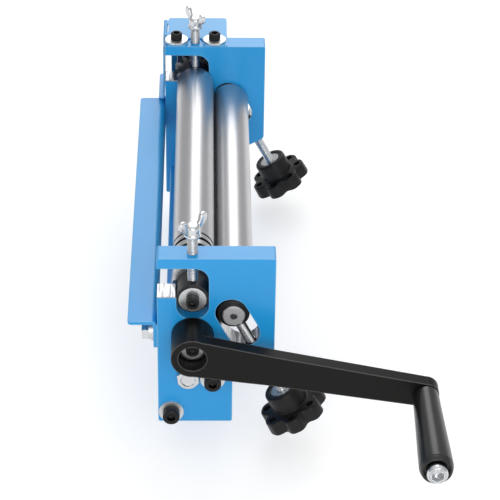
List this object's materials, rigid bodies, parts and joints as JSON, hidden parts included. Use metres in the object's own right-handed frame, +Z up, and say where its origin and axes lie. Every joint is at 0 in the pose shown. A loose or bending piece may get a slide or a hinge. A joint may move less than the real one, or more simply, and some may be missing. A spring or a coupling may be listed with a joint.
{
  "type": "slip roll machine",
  "caption": "Hand-cranked bench slip roll: geared feed rolls and an idle bending roll between slotted end frames, with wing screws, star knobs, a front angle and a flap-topped gear guard.",
  "frame": {"origin": "Centre of the underside of the front tie bar, on the surface the machine stands on, half way between the end frames.", "axes": "+X from the front angle towards the rear bending roll, +Y along the rolls from the crank end to the gear end, +Z up."},
  "size_m": [0.2352, 0.5273, 0.1884],
  "materials": {
    "frame_paint": "smooth semi-gloss blue paint",
    "cover_paint": "smooth semi-gloss blue paint on thin sheet",
    "ground_steel": "fine ground and polished, oiled",
    "gear_steel": "machined, greased",
    "black_screw": "black oxide",
    "zinc_plate": "bright zinc plate",
    "bush_black": "black bearing plastic",
    "crank_black": "satin black paint",
    "grip_plastic": "smooth black moulding",
    "knob_plastic": "fine-grained black moulding"
  },
  "bodies": {
    "frame": {"crank_end_frame": "frame_paint", "gear_end_frame": "frame_paint", "front_angle": "frame_paint", "front_tie_bar": "frame_paint", "rear_tie_bar": "frame_paint", "tie_cap_screws": "black_screw", "tie_washers": "zinc_plate", "tie_hex_bolts": "zinc_plate", "angle_bolts": "zinc_plate", "angle_washers": "zinc_plate", "angle_spring_washers": "zinc_plate", "drive_bushes": "bush_black", "gear_cover": "cover_paint", "cover_screws": "black_screw", "cover_washers": "zinc_plate", "flap_hinge_pin": "zinc_plate"},
    "flap": {"cover_flap": "cover_paint"},
    "drive": {"drive_roll": "ground_steel", "drive_gear": "gear_steel", "drive_gear_key": "gear_steel", "drive_gear_washer": "zinc_plate", "drive_gear_screw": "black_screw", "crank_arm": "crank_black", "crank_key": "gear_steel", "crank_washer": "zinc_plate", "crank_screw": "black_screw", "grip_bolt": "zinc_plate"},
    "grip": {"hand_grip": "grip_plastic"},
    "upper_slides": {"upper_bushes": "bush_black"},
    "upper": {"upper_roll": "ground_steel", "upper_gear": "gear_steel", "upper_gear_key": "gear_steel", "upper_end_washers": "zinc_plate", "upper_end_screws": "black_screw"},
    "wing_crank_end": {"wing_screw_crank_end": "zinc_plate"},
    "wing_gear_end": {"wing_screw_gear_end": "zinc_plate"},
    "rear_slides": {"rear_bushes": "bush_black"},
    "rear": {"rear_roll": "ground_steel"},
    "knob_crank_end": {"knob_stud_crank_end": "zinc_plate", "knob_insert_crank_end": "zinc_plate", "star_knob_crank_end": "knob_plastic"},
    "knob_gear_end": {"knob_stud_gear_end": "zinc_plate", "knob_insert_gear_end": "zinc_plate", "star_knob_gear_end": "knob_plastic"}
  },
  "joints": [
    {"name": "crank_turn", "type": "hinge", "parent": "frame", "child": "drive", "pos_m": [0.0165, 0, 0.0807], "axis": [0, 1, 0], "continuous": true},
    {"name": "grip_spin", "type": "hinge", "parent": "drive", "child": "grip", "pos_m": [0.19042, 0, 0.04784], "axis": [0, 1, 0], "continuous": true},
    {"name": "upper_lift", "type": "slide", "parent": "frame", "child": "upper_slides", "axis": [0, 0, 1], "range_m": [-0.0002, 0.0138]},
    {"name": "upper_roll_turn", "type": "hinge", "parent": "upper_slides", "child": "upper", "pos_m": [0.0165, 0, 0.1132], "axis": [0, 1, 0], "continuous": true},
    {"name": "wing_turn_crank_end", "type": "hinge", "parent": "upper_slides", "child": "wing_crank_end", "pos_m": [0.0165, -0.1725, 0.16], "axis": [0, 0, 1], "range_deg": [-58, 3976]},
    {"name": "wing_turn_gear_end", "type": "hinge", "parent": "upper_slides", "child": "wing_gear_end", "pos_m": [0.0165, 0.1725, 0.16], "axis": [0, 0, 1], "range_deg": [-58, 3976]},
    {"name": "rear_adjust", "type": "slide", "parent": "frame", "child": "rear_slides", "axis": [0.4695, 0, -0.8829], "range_m": [-0.0026, 0.0161]},
    {"name": "rear_roll_turn", "type": "hinge", "parent": "rear_slides", "child": "rear", "pos_m": [0.04709, 0, 0.09702], "axis": [0, 1, 0], "continuous": true},
    {"name": "knob_turn_crank_end", "type": "hinge", "parent": "rear_slides", "child": "knob_crank_end", "pos_m": [0.04709, -0.176, 0.09702], "axis": [0.4695, 0, -0.8829], "range_deg": [-749, 4637]},
    {"name": "knob_turn_gear_end", "type": "hinge", "parent": "rear_slides", "child": "knob_gear_end", "pos_m": [0.04709, 0.176, 0.09702], "axis": [0.4695, 0, -0.8829], "range_deg": [-749, 4637]},
    {"name": "flap_swing", "type": "hinge", "parent": "frame", "child": "flap", "pos_m": [-0.01, 0.1975, 0.1483], "axis": [0, 1, 0], "range_deg": [0, 100]}
  ],
  "couplings": [
    {"joint": "upper_roll_turn", "follows": "crank_turn", "ratio": -1},
    {"joint": "wing_turn_crank_end", "follows": "upper_lift", "rad_per_m": 5026.5},
    {"joint": "wing_turn_gear_end", "follows": "upper_lift", "rad_per_m": 5026.5},
    {"joint": "knob_turn_crank_end", "follows": "rear_adjust", "rad_per_m": 5026.5},
    {"joint": "knob_turn_gear_end", "follows": "rear_adjust", "rad_per_m": 5026.5}
  ]
}
